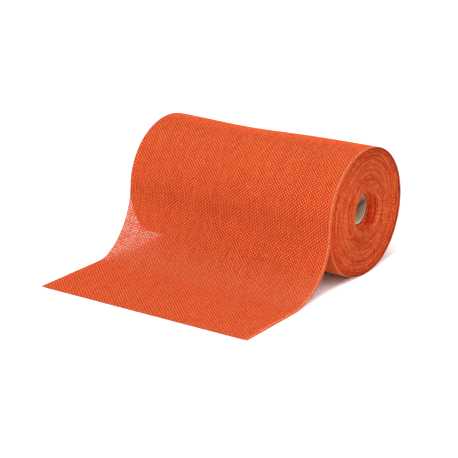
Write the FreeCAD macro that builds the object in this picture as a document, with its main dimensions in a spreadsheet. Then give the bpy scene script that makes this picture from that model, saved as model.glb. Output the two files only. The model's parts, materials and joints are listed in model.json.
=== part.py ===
import FreeCAD, Part
import os
import Sketcher

# A roll of jute cloth on a cardboard core, lying on the floor with its free end drawn out.
#
# X runs along the roll, Z is up and the free end lies toward -Y.  The origin is the centre of
# the core's bore, so the floor is one wrapped radius below it.  Every length is in millimetres.
#
# The cloth is one long web.  It is divided where it does different work: the turns that go
# round with the core, the outermost turn that hangs over them, the drop that hangs from that
# turn and curves onto the floor, and the flaps of the free end, which bend up one by one.

# The core's plies, from its bore outward.
CORE_PLY_LABELS = ("core_inner_ply", "core_middle_ply", "core_outer_ply")

DRIVING_SIZES = {
    # the woven web, without its edge threads
    "cloth_width": 298.4,
    "cloth_thickness": 0.8,
    "selvedge_width": 0.8,
    # the cardboard core: its bore, its wall's three plies and how far its ends lie inside
    "core_bore_radius": 17.0,
    "core_ply": 0.7,
    "core_recess": 12.5,
    # the mouth: the first turns open out from the core's end to the face of the roll
    "mouth_flare": 7.5,
    # how much cloth each band of turns holds, measured along a radius
    "inner_build": 13.6,
    "middle_build": 20.0,
    # how far each band has crept sideways as it was wound
    "inner_creep": 0.6,
    "middle_creep": -0.5,
    "outer_creep": 0.4,
    # the outermost turn: its inner radius, the air between turns, and the air inside it
    "wrap_radius": 81.2,
    "turn_gap": 0.1,
    "running_gap": 0.3,
    # the free end: straight fall, flat stretch before the first flap, and the flaps
    "drop_fall": 8.0,
    "floor_run": 12.0,
    "flap_length": 31.0,
    "flap_gap": 0.3,
}

# Sizes that follow from the driving ones, as expressions of the same sheet.
DERIVED_SIZES = {
    "half_width": "=cloth_width / 2",
    "core_length": "=cloth_width + 2 * selvedge_width - 2 * core_recess",
    "core_radius": f"=core_bore_radius + {len(CORE_PLY_LABELS)} * core_ply",
    "first_radius": "=core_radius + turn_gap",
    "rim_radius": "=first_radius + mouth_flare",
    "inner_radius": "=rim_radius + cloth_thickness + inner_build",
    "middle_radius": "=inner_radius + turn_gap + middle_build",
    "outer_radius": "=wrap_radius - running_gap",
    "spiral_step": "=cloth_thickness + turn_gap",
    "wrap_outside": "=wrap_radius + cloth_thickness",
    "front_inside": "=wrap_radius + spiral_step",
    "front_outside": "=front_inside + cloth_thickness",
    "bend_under": "=wrap_outside - drop_fall",
    "bend_top": "=bend_under - cloth_thickness",
    "bend_centre": "=front_outside + bend_top",
    "flap_start": "=bend_centre + floor_run",
}

FLAP_COUNT = 3
SIDES = {"left": -1, "right": 1}

# Angles in degrees, counted from +Y toward +Z as seen from the +X end.
FULL_TURN = 360
HALF_TURN = 180
QUARTER_TURN = 90

# Turns a cylinder's own axis onto X and the start of its sector onto +Y.
ALONG_X = FreeCAD.Rotation(FreeCAD.Vector(1, 1, 1), FULL_TURN / 3)

document = FreeCAD.newDocument("jute_cloth_roll")
sheet = document.addObject("Spreadsheet::Sheet", "Sizes")
pieces = []


def fill_sheet():
    """Write every size into the sheet, each under its own alias."""
    sizes = {name: str(value) for name, value in DRIVING_SIZES.items()}
    sizes.update(DERIVED_SIZES)
    for row, (name, content) in enumerate(sizes.items(), start=1):
        sheet.set(f"A{row}", name)
        sheet.set(f"B{row}", content)
        sheet.setAlias(f"B{row}", name)
    document.recompute()


def sized(expression):
    """Prefix each alias in an expression with the sheet's name."""
    names = sorted([*DRIVING_SIZES, *DERIVED_SIZES], key=len, reverse=True)
    words = expression.replace("(", " ( ").replace(")", " ) ").split()
    return " ".join(f"Sizes.{word}" if word in names else word for word in words)


def value_of(expression):
    """Work out an expression of the sheet's sizes as a plain number."""
    return float(sheet.evalExpression(sized(expression)))


def bind(feature, bindings):
    """Tie properties of a feature to expressions of the sheet's sizes."""
    for name, expression in bindings.items():
        feature.setExpression(name, sized(expression))
    return feature


def new_body(label):
    """Start a sub-part that is built from sketches."""
    body = document.addObject("PartDesign::Body", label)
    body.Label = label
    pieces.append(body)
    return body


def new_sketch(body, plane):
    """Add a sketch on one of the body's own origin planes."""
    origin_plane = next(one for one in body.Origin.OriginFeatures if one.Role == plane)
    sketch = body.newObject("Sketcher::SketchObject", f"{body.Name}_sketch")
    sketch.AttachmentSupport = (origin_plane, [""])
    sketch.MapMode = "FlatFace"
    return sketch


def draw_outline(sketch, corners):
    """Draw a closed outline whose corners are pairs of size expressions."""
    points = [FreeCAD.Vector(value_of(across), value_of(up), 0) for across, up in corners]
    count = len(points)
    for index in range(count):
        sketch.addGeometry(Part.LineSegment(points[index], points[(index + 1) % count]), False)
    for index, (across, up) in enumerate(corners):
        following = (index + 1) % count
        sketch.addConstraint(Sketcher.Constraint("Coincident", index, 2, following, 1))
        place_corner(sketch, index, "DistanceX", f"across_{index}", across, points[index].x)
        place_corner(sketch, index, "DistanceY", f"up_{index}", up, points[index].y)


def place_corner(sketch, line, kind, name, expression, value):
    """Hold the first end of a line at a signed distance from the sketch's origin."""
    added = sketch.addConstraint(Sketcher.Constraint(kind, -1, 1, line, 1, value))
    sketch.renameConstraint(added, name)
    sketch.setExpression(f"Constraints.{name}", sized(expression))


def draw_circle(sketch, name, expression):
    """Draw a circle about the sketch's origin."""
    circle = Part.Circle(FreeCAD.Vector(0, 0, 0), FreeCAD.Vector(0, 0, 1), value_of(expression))
    drawn = sketch.addGeometry(circle, False)
    sketch.addConstraint(Sketcher.Constraint("Coincident", drawn, 3, -1, 1))
    radius = sketch.addConstraint(Sketcher.Constraint("Radius", drawn, circle.Radius))
    sketch.renameConstraint(radius, name)
    sketch.setExpression(f"Constraints.{name}", sized(expression))


# ---------------------------------------------------------------- the core

def build_core_ply(label, ply):
    """One wound ply of the core's wall, the ply next to the bore being number 0."""
    body = new_body(label)
    sketch = new_sketch(body, "YZ_Plane")
    draw_circle(sketch, "inside", f"core_bore_radius + {ply} * core_ply")
    draw_circle(sketch, "outside", f"core_bore_radius + {ply + 1} * core_ply")
    pad = body.newObject("PartDesign::Pad", f"{label}_pad")
    pad.Profile = sketch
    pad.SideType = "Symmetric"
    bind(pad, {"Length": "core_length"})


# ---------------------------------------------------------------- the wound turns

def revolve_turns(label, corners, creep):
    """Turn an outline round the roll's axis and shift it sideways by its creep."""
    body = new_body(label)
    sketch = new_sketch(body, "XZ_Plane")
    draw_outline(sketch, corners)
    turned = body.newObject("PartDesign::Revolution", f"{label}_turned")
    turned.Profile = sketch
    turned.ReferenceAxis = (sketch, ["H_Axis"])
    turned.Angle = FULL_TURN
    bind(body, {".Placement.Base.x": creep})


def mouth_line(radius, rim):
    """The line of a turn that opens out at both ends, from left to right."""
    return [
        ("0 - half_width", rim),
        ("0 - core_length / 2", radius),
        ("core_length / 2", radius),
        ("half_width", rim),
    ]


def build_turns():
    """The turns that go round with the core, in four bands."""
    first_in = mouth_line("first_radius", "rim_radius")
    first_out = mouth_line("first_radius + cloth_thickness", "rim_radius + cloth_thickness")
    revolve_turns("first_turn", first_in + first_out[::-1], "inner_creep")

    lining = "cloth_thickness + turn_gap"
    inner_in = mouth_line(f"first_radius + {lining}", f"rim_radius + {lining}")
    inner_out = [("half_width", "inner_radius"), ("0 - half_width", "inner_radius")]
    revolve_turns("inner_turns", inner_in + inner_out, "inner_creep")

    revolve_turns("middle_turns", band("inner_radius + turn_gap", "middle_radius"), "middle_creep")
    revolve_turns("outer_turns", band("middle_radius + turn_gap", "outer_radius"), "outer_creep")


def band(inside, outside):
    """The outline of a plain band of turns between two radii."""
    return [
        ("0 - half_width", inside),
        ("half_width", inside),
        ("half_width", outside),
        ("0 - half_width", outside),
    ]


# ---------------------------------------------------------------- the outermost turn and drop

def ring_sector(label, inside, outside, sweep, start, along, length, centre=("0", "0")):
    """A part of a ring about an axis along X, from its start angle through its sweep."""
    turned = ALONG_X * FreeCAD.Rotation(FreeCAD.Vector(0, 0, 1), start)
    walls = []
    for face, radius in (("outside", outside), ("inside", inside)):
        cylinder = document.addObject("Part::Cylinder", f"{label}_{face}")
        cylinder.Angle = sweep
        cylinder.Placement = FreeCAD.Placement(FreeCAD.Vector(0, 0, 0), turned)
        bind(cylinder, {
            "Radius": radius,
            "Height": length,
            ".Placement.Base.x": along,
            ".Placement.Base.y": centre[0],
            ".Placement.Base.z": centre[1],
        })
        walls.append(cylinder)
    ring = document.addObject("Part::Cut", f"{label}_ring")
    ring.Base, ring.Tool = walls
    return ring


def slab(label, along, length, start, depth, bottom, rise):
    """A straight stretch of cloth: its length lies along X and its other edges along Y and Z."""
    block = document.addObject("Part::Box", label)
    bind(block, {
        "Length": length,
        "Width": depth,
        "Height": rise,
        ".Placement.Base.x": along,
        ".Placement.Base.y": start,
        ".Placement.Base.z": bottom,
    })
    return block


def join(label, stretches):
    """Fuse stretches that meet end to end into one sub-part."""
    fused = document.addObject("Part::MultiFuse", label)
    fused.Label = label
    fused.Shapes = stretches
    fused.Refine = True
    pieces.append(fused)


def build_wrap(label, along, length):
    """The outermost turn: a lower half about the axis and an upper half that climbs one step."""
    lower = ring_sector(
        f"{label}_lower", "wrap_radius", "wrap_outside",
        sweep=HALF_TURN, start=HALF_TURN, along=along, length=length)
    upper = ring_sector(
        f"{label}_upper", "wrap_radius + spiral_step / 2", "wrap_outside + spiral_step / 2",
        sweep=HALF_TURN, start=0, along=along, length=length,
        centre=("0 - spiral_step / 2", "0"))
    join(label, [lower, upper])


def build_drop(label, along, length):
    """The fall from the roll's front, the wide bend and the first flat stretch on the floor."""
    fall = slab(
        f"{label}_fall", along, length,
        start="0 - front_outside", depth="cloth_thickness",
        bottom="0 - drop_fall", rise="drop_fall")
    bend = ring_sector(
        f"{label}_bend", "bend_top", "bend_under",
        sweep=QUARTER_TURN, start=-QUARTER_TURN, along=along, length=length,
        centre=("0 - bend_centre", "0 - drop_fall"))
    flat = slab(
        f"{label}_flat", along, length,
        start="0 - flap_start", depth="floor_run",
        bottom="0 - wrap_outside", rise="cloth_thickness")
    join(label, [fall, bend, flat])


# ---------------------------------------------------------------- the flaps of the free end

def build_flap(label, number, along, length):
    """One flap of the free end, counted from 1 at the roll, lying flat on the floor."""
    body = new_body(label)
    sketch = new_sketch(body, "YZ_Plane")
    near_edge = f"0 - flap_start - {number - 1} * flap_length - flap_gap"
    far_edge = f"0 - flap_start - {number} * flap_length"
    underside = "0 - wrap_outside"
    topside = "0 - wrap_radius"
    draw_outline(sketch, [
        (far_edge, underside), (near_edge, underside), (near_edge, topside), (far_edge, topside),
    ])
    pad = body.newObject("PartDesign::Pad", f"{label}_pad")
    pad.Profile = sketch
    bind(pad, {"Length": length})
    bind(body, {".Placement.Base.x": along})


def selvedge_span(sign):
    """Where an edge thread starts along X and how wide it is."""
    start = "half_width" if sign > 0 else "0 - half_width - selvedge_width"
    return start, "selvedge_width"


def build_web():
    """The web's own stretches and the edge threads along both sides of each."""
    web = ("0 - half_width", "cloth_width")
    build_wrap("outer_wrap", *web)
    build_drop("tail_drop", *web)
    for side, sign in SIDES.items():
        build_wrap(f"wrap_selvedge_{side}", *selvedge_span(sign))
        build_drop(f"drop_selvedge_{side}", *selvedge_span(sign))
    for number in range(1, FLAP_COUNT + 1):
        build_flap(f"tail_flap_{number}", number, *web)
        for side, sign in SIDES.items():
            build_flap(f"flap_{number}_selvedge_{side}", number, *selvedge_span(sign))


# ---------------------------------------------------------------- checks and files

def check_document():
    """Stop if any object failed or any sub-part is missing or invalid."""
    document.recompute()
    for feature in document.Objects:
        if "Invalid" in feature.State or "Error" in feature.State:
            raise RuntimeError(f"{feature.Label} failed: {feature.State}")
    for piece in pieces:
        if piece.Shape.isNull() or not piece.Shape.isValid() or not piece.Shape.Solids:
            raise RuntimeError(f"{piece.Label} has no valid solid")


def write_parts():
    """Write each sub-part to its own STEP file."""
    os.makedirs("parts", exist_ok=True)
    for piece in pieces:
        piece.Shape.exportStep(f"parts/{piece.Label}.step")
        box = piece.Shape.BoundBox
        print(f"{piece.Label:26s} {piece.Shape.Volume:12.1f} mm3"
              f"  x {box.XMin:7.1f} {box.XMax:7.1f}"
              f"  y {box.YMin:7.1f} {box.YMax:7.1f}  z {box.ZMin:7.1f} {box.ZMax:7.1f}")


fill_sheet()
for ply_number, ply_label in enumerate(CORE_PLY_LABELS):
    build_core_ply(ply_label, ply_number)
build_turns()
build_web()
check_document()
write_parts()
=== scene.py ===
"""A roll of orange jute cloth on a cardboard core, its free end drawn out over the floor.

The cloth is woven thread by thread: every warp and every pick of the outermost turn and of the
free end is a thread of its own that passes over and under the others.
"""

from __future__ import annotations

import json
import logging
import math
from collections.abc import Callable
from dataclasses import dataclass
from enum import Enum

import bpy
import numpy as np
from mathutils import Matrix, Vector

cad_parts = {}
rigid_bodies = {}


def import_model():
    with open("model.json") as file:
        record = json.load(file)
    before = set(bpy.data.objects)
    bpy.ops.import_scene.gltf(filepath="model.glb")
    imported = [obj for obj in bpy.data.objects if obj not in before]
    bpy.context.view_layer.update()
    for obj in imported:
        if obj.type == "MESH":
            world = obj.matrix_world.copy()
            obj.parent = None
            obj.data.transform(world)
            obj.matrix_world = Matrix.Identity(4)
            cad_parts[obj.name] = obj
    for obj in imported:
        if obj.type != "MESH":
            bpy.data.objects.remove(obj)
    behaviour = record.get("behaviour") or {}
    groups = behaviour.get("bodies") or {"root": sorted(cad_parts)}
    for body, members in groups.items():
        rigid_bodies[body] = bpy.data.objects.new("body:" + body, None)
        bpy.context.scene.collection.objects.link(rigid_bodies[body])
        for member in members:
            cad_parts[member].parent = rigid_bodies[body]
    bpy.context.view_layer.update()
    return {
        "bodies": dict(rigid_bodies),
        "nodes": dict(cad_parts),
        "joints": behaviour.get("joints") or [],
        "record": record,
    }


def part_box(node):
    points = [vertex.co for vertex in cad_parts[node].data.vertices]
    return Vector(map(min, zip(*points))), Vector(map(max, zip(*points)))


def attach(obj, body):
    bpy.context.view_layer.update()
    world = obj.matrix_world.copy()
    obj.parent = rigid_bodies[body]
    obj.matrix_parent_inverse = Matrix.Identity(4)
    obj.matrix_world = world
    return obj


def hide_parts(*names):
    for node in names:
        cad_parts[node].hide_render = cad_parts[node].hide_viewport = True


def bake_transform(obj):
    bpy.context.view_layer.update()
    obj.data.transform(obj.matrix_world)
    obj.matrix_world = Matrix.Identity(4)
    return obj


MM = 0.001
TAU = 2 * math.pi
SEED = 20
SENSOR_MM = 36.0
WAVE_SPREAD = (0.75, 1.3)

log = logging.getLogger("jute_roll")

Colour = tuple[float, float, float, float]
Socket = bpy.types.NodeSocket


class Side(Enum):
    """The two ends of the roll."""

    LEFT = -1
    RIGHT = 1

    @property
    def word(self) -> str:
        """The side's name, as the pieces use it."""
        return self.name.lower()


class Thread(Enum):
    """What a thread of the web is spun from."""

    JUTE = 0
    EDGE = 1


# ---------------------------------------------------------------- sizes

@dataclass(frozen=True)
class RollSizes:
    """The roll's own sizes, read from the fixed frame."""

    half_width: float
    radius: float
    floor: float
    tail_end: float
    bore: float
    core_radius: float
    core_half: float
    hinges: tuple[float, ...]

    @classmethod
    def from_frame(cls, frame: dict) -> RollSizes:
        """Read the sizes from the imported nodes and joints.


        Returns:
            The sizes, in metres.
        """
        wrap_low, wrap_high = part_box("outer_wrap")
        edge_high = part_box("wrap_selvedge_right")[1]
        last_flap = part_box("tail_flap_3")[0]
        core_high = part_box("core_outer_ply")[1]
        bore = next(one for one in frame["record"]["mounts"] if one["name"] == "core_bore")
        bends = [joint for joint in frame["joints"] if joint["name"].endswith("_bend")]
        return cls(
            half_width=edge_high.x,
            radius=wrap_high.y,
            floor=wrap_low.z,
            tail_end=last_flap.y,
            bore=bore["dims"]["r_mm"] * MM,
            core_radius=core_high.y,
            core_half=core_high.x,
            hinges=tuple(sorted((joint["pos_m"][1] for joint in bends), reverse=True)),
        )


@dataclass(frozen=True)
class Weave:
    """How the web is woven."""

    warp_pitch: float = 2.334 * MM
    pick_pitch: float = 2.15 * MM
    warp_width: float = 1.64 * MM
    pick_width: float = 1.48 * MM
    thickness: float = 0.56 * MM
    warp_crimp: float = 0.36 * MM
    pick_crimp: float = 0.18 * MM
    warp_wander: float = 0.07 * MM
    pick_wander: float = 0.10 * MM
    cut_fringe: float = 1.0 * MM
    edge_places: tuple[float, ...] = (0.42 * MM, 1.28 * MM, 2.14 * MM, 3.0 * MM)
    edge_kinds: tuple[Thread, ...] = (Thread.JUTE, Thread.EDGE, Thread.JUTE, Thread.EDGE)
    edge_widths: tuple[float, ...] = (0.84 * MM, 0.28 * MM, 0.84 * MM, 0.50 * MM)
    edge_gap: float = 1.55 * MM
    loop_start: float = 0.04 * MM
    loop_reach: float = 0.24 * MM
    loop_width: float = 0.55
    fine: float = 0.40 * MM
    fine_wander: float = 0.3
    fine_crimp: float = 0.8
    uneven: float = 0.05
    warp_slub: float = 0.08
    pick_slub: float = 0.09
    # The *_rub_and_highlight weights paint the threads' crowns lighter, as rub wear and as painted
    # highlight; flanks and undersides stay darker as painted shade.
    fine_rub_and_highlight: float = 0.125
    warp_rub_and_highlight: float = 0.5
    pick_rub_and_highlight: float = 0.13
    slack: float = 0.10
    slack_sway: float = 1.6
    slack_place: float = 62 * MM
    slack_reach: float = 42 * MM

    @property
    def half_depth(self) -> float:
        """Half of the whole cloth's depth."""
        return self.warp_crimp + self.thickness / 2


def wander(rng: np.random.Generator, count: int, along: np.ndarray, waves: tuple[float, ...],
           size: float) -> np.ndarray:
    """Make one smooth random line for each of several threads.

    Args:
        rng: the source of the phases.
        count: how many threads.
        along: places along a thread, in metres.
        waves: wavelengths, in metres.
        size: the lines' typical size.

    Returns:
        An array with a row for each thread.
    """
    line = np.zeros((count, len(along)))
    for wave in waves:
        phase = rng.uniform(0, TAU, (count, 1))
        own = wave * rng.uniform(*WAVE_SPREAD, (count, 1))
        line += np.sin(TAU * along[None, :] / own + phase)
    return size * line * math.sqrt(2 / len(waves))


# ---------------------------------------------------------------- the web's middle line

@dataclass(frozen=True)
class Sweep:
    """How one edge of the web comes down from the roll to the floor."""

    fall: float
    reach: float
    fullness: float


@dataclass(frozen=True)
class Ripple:
    """The cloth's small waves: short ones both ways, slow ones on the slant."""

    short: float = 0.22 * MM
    short_across: float = 17 * MM
    short_along: float = 29 * MM
    slow: float = 0.30 * MM
    slow_across: float = 38 * MM
    slow_along: float = 90 * MM
    flat_from: float = 95 * MM
    flat_over: float = 25 * MM


@dataclass(frozen=True)
class Slump:
    """How the soft roll departs from a true cylinder, and how its free end hangs."""

    widen: float = 2.86 * MM
    flatten: float = 3.19 * MM
    tuck: float = 0.8 * MM
    belly: float = 0.021
    belly_lean: float = 0.9
    left: Sweep = Sweep(0.0, 65.9 * MM, 1.72)
    right: Sweep = Sweep(5.5 * MM, 80.5 * MM, 2.0)
    soften: int = 5
    dip: float = 2.9 * MM
    dip_place: float = -41 * MM
    dip_reach: float = 80 * MM
    ripple: Ripple = Ripple()


class WebPath:
    """The middle surface of the outermost turn and the free end."""

    TURN_POINTS = 1441
    DROP_POINTS = 121
    SAME_POINT = 1e-7

    def __init__(self, sizes: RollSizes, weave: Weave, slump: Slump) -> None:
        """Lay the surface out along its two edges.

        Args:
            sizes: the roll's sizes.
            weave: the weave, for the cloth's depth.
            slump: how soft the roll is.
        """
        self.sizes, self.slump = sizes, slump
        half = weave.half_depth
        self.bottom = sizes.floor + half
        self.across = sizes.radius + slump.widen - half
        top = sizes.radius - slump.flatten - half
        self.middle, self.up = (top + self.bottom) / 2, (top - self.bottom) / 2
        turn = self._outermost_turn()
        ends = [self._free_end(sweep) for sweep in (slump.left, slump.right)]
        self.departure = run_of(turn)[-1]
        free = float(np.mean([run_of(end)[-1] for end in ends]))
        self.length = self.departure + free
        steps = int(free / MM) + 1
        self.along = np.r_[
            np.arange(0, self.departure - 0.5 * MM, MM),
            np.linspace(self.departure, self.length, steps)]
        wound = spread(turn, self.along[self.along < self.departure])
        self.edges = []
        for end in ends:
            loose = spread(end, np.linspace(0, run_of(end)[-1], steps))
            line = self._soften(np.concatenate([wound, loose]), slump.soften)
            ahead = np.gradient(line, self.along, axis=0)
            self.edges.append((line, ahead))

    def oval(self, angle: np.ndarray, inset: float) -> np.ndarray:
        """The slumped outline of the roll.

        Args:
            angle: angles round the axis, from +Y toward +Z.
            inset: how far inside the outermost turn's middle line.

        Returns:
            The points, as (y, z) pairs.
        """
        lean = 1 - self.slump.belly_lean * np.cos(angle)
        lower = np.sin(2 * angle) ** 2 * (np.sin(angle) < 0) * lean
        full = 1 + self.slump.belly * lower
        y = (self.across - inset) * np.cos(angle)
        z = (self.up - inset) * np.sin(angle)
        return np.stack([y * full, self.middle + z * full], -1)

    def _outermost_turn(self) -> np.ndarray:
        """Once round the roll, from under the free end to where that leaves."""
        turn = np.linspace(0, TAU, self.TURN_POINTS)
        tuck = self.slump.tuck * np.clip(1 - turn / (math.pi / 2), 0, 1) ** 2
        centre = np.array([0, self.middle])
        outline = self.oval(math.pi + turn, 0.0)
        return centre + (outline - centre) * (1 - tuck / self.across)[:, None]

    def _free_end(self, sweep: Sweep) -> np.ndarray:
        """Down from the roll, round to the floor and along it."""
        rise = self.middle - sweep.fall - self.bottom
        quarter = np.linspace(0, math.pi / 2, self.DROP_POINTS)
        power = 2 / sweep.fullness
        y = -self.across - sweep.reach * (1 - np.cos(quarter) ** power)
        z = self.bottom + rise * (1 - np.sin(quarter) ** power)
        curve = np.stack([y, z], 1)
        start = np.array([[-self.across, self.middle]])
        line = np.concatenate([start, curve, [[self.sizes.tail_end, self.bottom]]])
        step = np.linalg.norm(np.diff(line, axis=0), axis=1)
        return line[np.r_[True, step > self.SAME_POINT]]

    @staticmethod
    def _soften(line: np.ndarray, reach: int) -> np.ndarray:
        """Smooth the line over a short reach, without moving its ends."""
        pad = 3 * reach
        weights = np.exp(-0.5 * (np.arange(-pad, pad + 1) / reach) ** 2)
        weights /= weights.sum()
        before = 2 * line[0] - line[pad:0:-1]
        after = 2 * line[-1] - line[-2:-pad - 2:-1]
        longer = np.concatenate([before, line, after])
        return np.stack([np.convolve(longer[:, axis], weights, "valid") for axis in (0, 1)], 1)

    def place(self, across: np.ndarray, along: np.ndarray) -> tuple[np.ndarray, ...]:
        """Find points of the surface.

        Args:
            across: distances across the web from its middle.
            along: distances along the web, of the same shape.

        Returns:
            The points, the directions along the web and the outward normals, as (y, z) pairs.
        """
        share = (0.5 + across / (2 * self.sizes.half_width))[..., None]
        found = []
        for part in (0, 1):
            left, right = (
                np.stack([np.interp(along, self.along, edge[part][:, i]) for i in (0, 1)], -1)
                for edge in self.edges)
            found.append(left * (1 - share) + right * share)
        point, ahead = found
        ahead /= np.linalg.norm(ahead, axis=-1, keepdims=True)
        return point, ahead, np.stack([ahead[..., 1], -ahead[..., 0]], -1)

    def lift(self, across: np.ndarray, along: np.ndarray) -> np.ndarray:
        """How far the cloth stands off its middle surface: slack and small waves.

        Args:
            across: distances across the web, in metres.
            along: distances along the web, of the same shape.

        Returns:
            The distances along the outward normal.
        """
        slump, small = self.slump, self.slump.ripple
        turned = np.clip(along / self.departure, 0, 1)
        top = np.clip(np.sin(TAU * (turned - 0.5)), 0, 1)
        dip = -slump.dip * np.exp(-((across - slump.dip_place) / slump.dip_reach) ** 2) * top
        wave = (small.short * np.sin(across / small.short_across + 1.1)
                * np.sin(along / small.short_along + 0.4))
        slow = small.slow * np.sin(across / small.slow_across + 2.0 + along / small.slow_along)
        lying = np.clip((along - self.departure - small.flat_from) / small.flat_over, 0, 1)
        ripple = 0.5 * (wave + slow) * (1 - lying) + lying * 0.5 * (abs(slow) + abs(wave))
        return dip + ripple

    def surface(self, across: np.ndarray, along: np.ndarray, height: np.ndarray) -> tuple[
            np.ndarray, np.ndarray, np.ndarray]:
        """Turn places in the web into points in space.

        Args:
            across: places across the web.
            along: places along the web, of the same shape.
            height: distances above the middle surface.

        Returns:
            The points, and the unit vectors along the web and out of it.
        """
        point, ahead, out = self.place(across, along)
        offset = height + self.lift(across, along)
        flat = point + out * offset[..., None]
        zero = np.zeros(across.shape)
        place = np.stack([across, flat[..., 0], flat[..., 1]], -1)
        forward = np.stack([zero, ahead[..., 0], ahead[..., 1]], -1)
        outward = np.stack([zero, out[..., 0], out[..., 1]], -1)
        return place, forward, outward


def run_of(line: np.ndarray) -> np.ndarray:
    """How far along a line each of its points lies."""
    return np.r_[0, np.cumsum(np.linalg.norm(np.diff(line, axis=0), axis=1))]


def spread(line: np.ndarray, places: np.ndarray) -> np.ndarray:
    """The points of a line at given distances along it."""
    run = run_of(line)
    return np.stack([np.interp(places, run, line[:, axis]) for axis in (0, 1)], 1)


# ---------------------------------------------------------------- meshes of threads

@dataclass
class Tubes:
    """Four-sided flattened tubes of equal numbers of rings, the raw form of a set of threads."""

    rings: np.ndarray
    fibre: np.ndarray
    crown: np.ndarray
    reach: float
    girth: float

    FLANK = 0.2
    CAP_SIDE = 0.8
    CAP_BEFORE = 1.4
    CAP_AFTER = 0.4

    @classmethod
    def along(cls, centre: np.ndarray, side: np.ndarray, up: np.ndarray, half_width: np.ndarray,
              half_depth: np.ndarray, run: np.ndarray, crown: np.ndarray, under: np.ndarray,
              seeds: np.ndarray) -> Tubes:
        """Sweep a flattened section along each thread.

        Args:
            centre: ring centres, as threads by rings by 3.
            side: unit vectors across each thread, so that side x up points along it.
            up: unit vectors through each thread.
            half_width: half widths, threads by rings.
            half_depth: half depths, threads by rings.
            run: distances along each thread, threads by rings.
            crown: how light each ring's top is painted, from 0 to 1, threads by rings: more where
                the thread passes over, as rub wear and as painted highlight.
            under: how light each ring's underside is painted, more where the thread passes under;
                the flanks get less, as painted shade.
            seeds: one number from 0 to 1 for each thread.

        Returns:
            The tubes.
        """
        wide, deep = side * half_width[..., None], up * half_depth[..., None]
        rings = np.stack([centre + wide, centre + deep, centre - wide, centre - deep], 2)
        fibre = np.zeros(rings.shape)
        fibre[..., 0] = half_width[..., None] * np.array([1, 0, -1, 0])
        fibre[..., 1] = run[..., None]
        fibre[..., 2] = seeds[:, None, None]
        # Flanks take a fifth of the lighter share: painted shade on the threads' sides.
        flank = cls.FLANK * np.maximum(crown, under)
        proud = np.stack([flank, crown, flank, under], -1)
        reach = float((run[:, -1] - run[:, 0]).max())
        girth = 4 * float(np.hypot(half_width, half_depth).mean())
        return cls(rings, fibre, proud, reach, girth)

    @property
    def count(self) -> int:
        """How many tubes there are."""
        return self.rings.shape[0]

    def faces(self, first: int) -> tuple[np.ndarray, np.ndarray]:
        """List the walls and the end caps.

        Args:
            first: the index of the first vertex.

        Returns:
            The quads of the walls, and those of the caps, as vertex indices.
        """
        threads, steps = self.rings.shape[:2]
        index = first + np.arange(threads * steps * 4).reshape(threads, steps, 4)
        ahead = np.roll(index, -1, axis=2)
        walls = np.stack([index[:, :-1], ahead[:, :-1], ahead[:, 1:], index[:, 1:]], -1)
        caps = np.stack([index[:, 0, ::-1], index[:, -1]], 1)
        return walls, caps

    def unwrap(self, low: float, per_row: int, gap: float) -> tuple[
            np.ndarray, np.ndarray, float]:
        """Lay every tube's walls and caps flat beside each other.

        Args:
            low: where the first row starts.
            per_row: how many tubes lie end to end in a row.
            gap: the space between them.

        Returns:
            The places of the walls' corners, those of the caps' corners, and the rows' top.
        """
        threads, steps = self.rings.shape[:2]
        number = np.arange(threads)
        start = (number % per_row) * (self.reach + 4 * gap) + 2 * gap
        base = low + (number // per_row) * (self.girth + gap)
        run = self.fibre[:, :, 0, 1] - self.fibre[:, :1, 0, 1]
        quarter = self.girth / 4
        strip = np.arange(4)
        shape = (threads, steps - 1, 4)
        near = np.broadcast_to((start[:, None] + run[:, :-1])[..., None], shape)
        far = np.broadcast_to((start[:, None] + run[:, 1:])[..., None], shape)
        down = np.broadcast_to(base[:, None, None] + strip * quarter, shape)
        over = down + quarter
        walls = np.stack([
            np.stack([near, down], -1), np.stack([near, over], -1),
            np.stack([far, over], -1), np.stack([far, down], -1),
        ], -2)
        square = np.array([[0, 0], [1, 0], [1, 1], [0, 1]]) * gap * self.CAP_SIDE
        ends = np.stack([
            start - self.CAP_BEFORE * gap, start + run[:, -1] + self.CAP_AFTER * gap], 1)
        corner = np.stack([ends, np.broadcast_to(base[:, None] + quarter, ends.shape)], -1)
        caps = corner[:, :, None, :] + square
        rows = math.ceil(threads / per_row)
        return walls, caps, low + rows * (self.girth + gap)


class ThreadMesh:
    """Gathers tubes and makes one closed mesh of them, with a map and a grain of its own."""

    GAP = 0.35 * MM

    def __init__(self, name: str) -> None:
        """Start an empty mesh called name."""
        self.name = name
        self.sets: list[Tubes] = []

    def add(self, tubes: Tubes) -> None:
        """Add a set of tubes."""
        self.sets.append(tubes)

    def _arrange(self) -> tuple[list[np.ndarray], float]:
        """Lay all tubes flat in one square.

        Returns:
            The corner places of each set's walls and caps in turn, and the square's side.
        """
        gap = self.GAP
        area = sum(one.count * (one.girth + gap) * (one.reach + 4 * gap) for one in self.sets)
        longest = max(one.reach for one in self.sets) + 4 * gap
        row = max(longest, math.sqrt(area))
        places, low = [], 0.0
        for one in self.sets:
            per_row = max(1, int(row / (one.reach + 4 * gap)))
            walls, caps, low = one.unwrap(low, per_row, gap)
            places += [walls.reshape(-1, 2), caps.reshape(-1, 2)]
        return places, max(row, low)

    def build(self) -> bpy.types.Object:
        """Make the object.

        Returns:
            The new object, linked to the scene, at the origin.
        """
        quads, points, fibres, first = [], [], [], 0
        for one in self.sets:
            walls, caps = one.faces(first)
            quads += [walls.reshape(-1, 4), caps.reshape(-1, 4)]
            points.append(one.rings.reshape(-1, 3))
            fibres.append(one.fibre.reshape(-1, 3))
            first += len(points[-1])
        places, side = self._arrange()
        obj = quad_object(self.name, np.concatenate(points), np.concatenate(quads))
        set_vectors(obj, "fibre", np.concatenate(fibres))
        set_numbers(obj, "crown", np.concatenate([one.crown.ravel() for one in self.sets]))
        layer = obj.data.uv_layers.new(name="OFBake")
        flat = (np.concatenate(places) / side).astype(np.float32)
        layer.data.foreach_set("uv", flat.ravel())
        return obj


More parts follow.
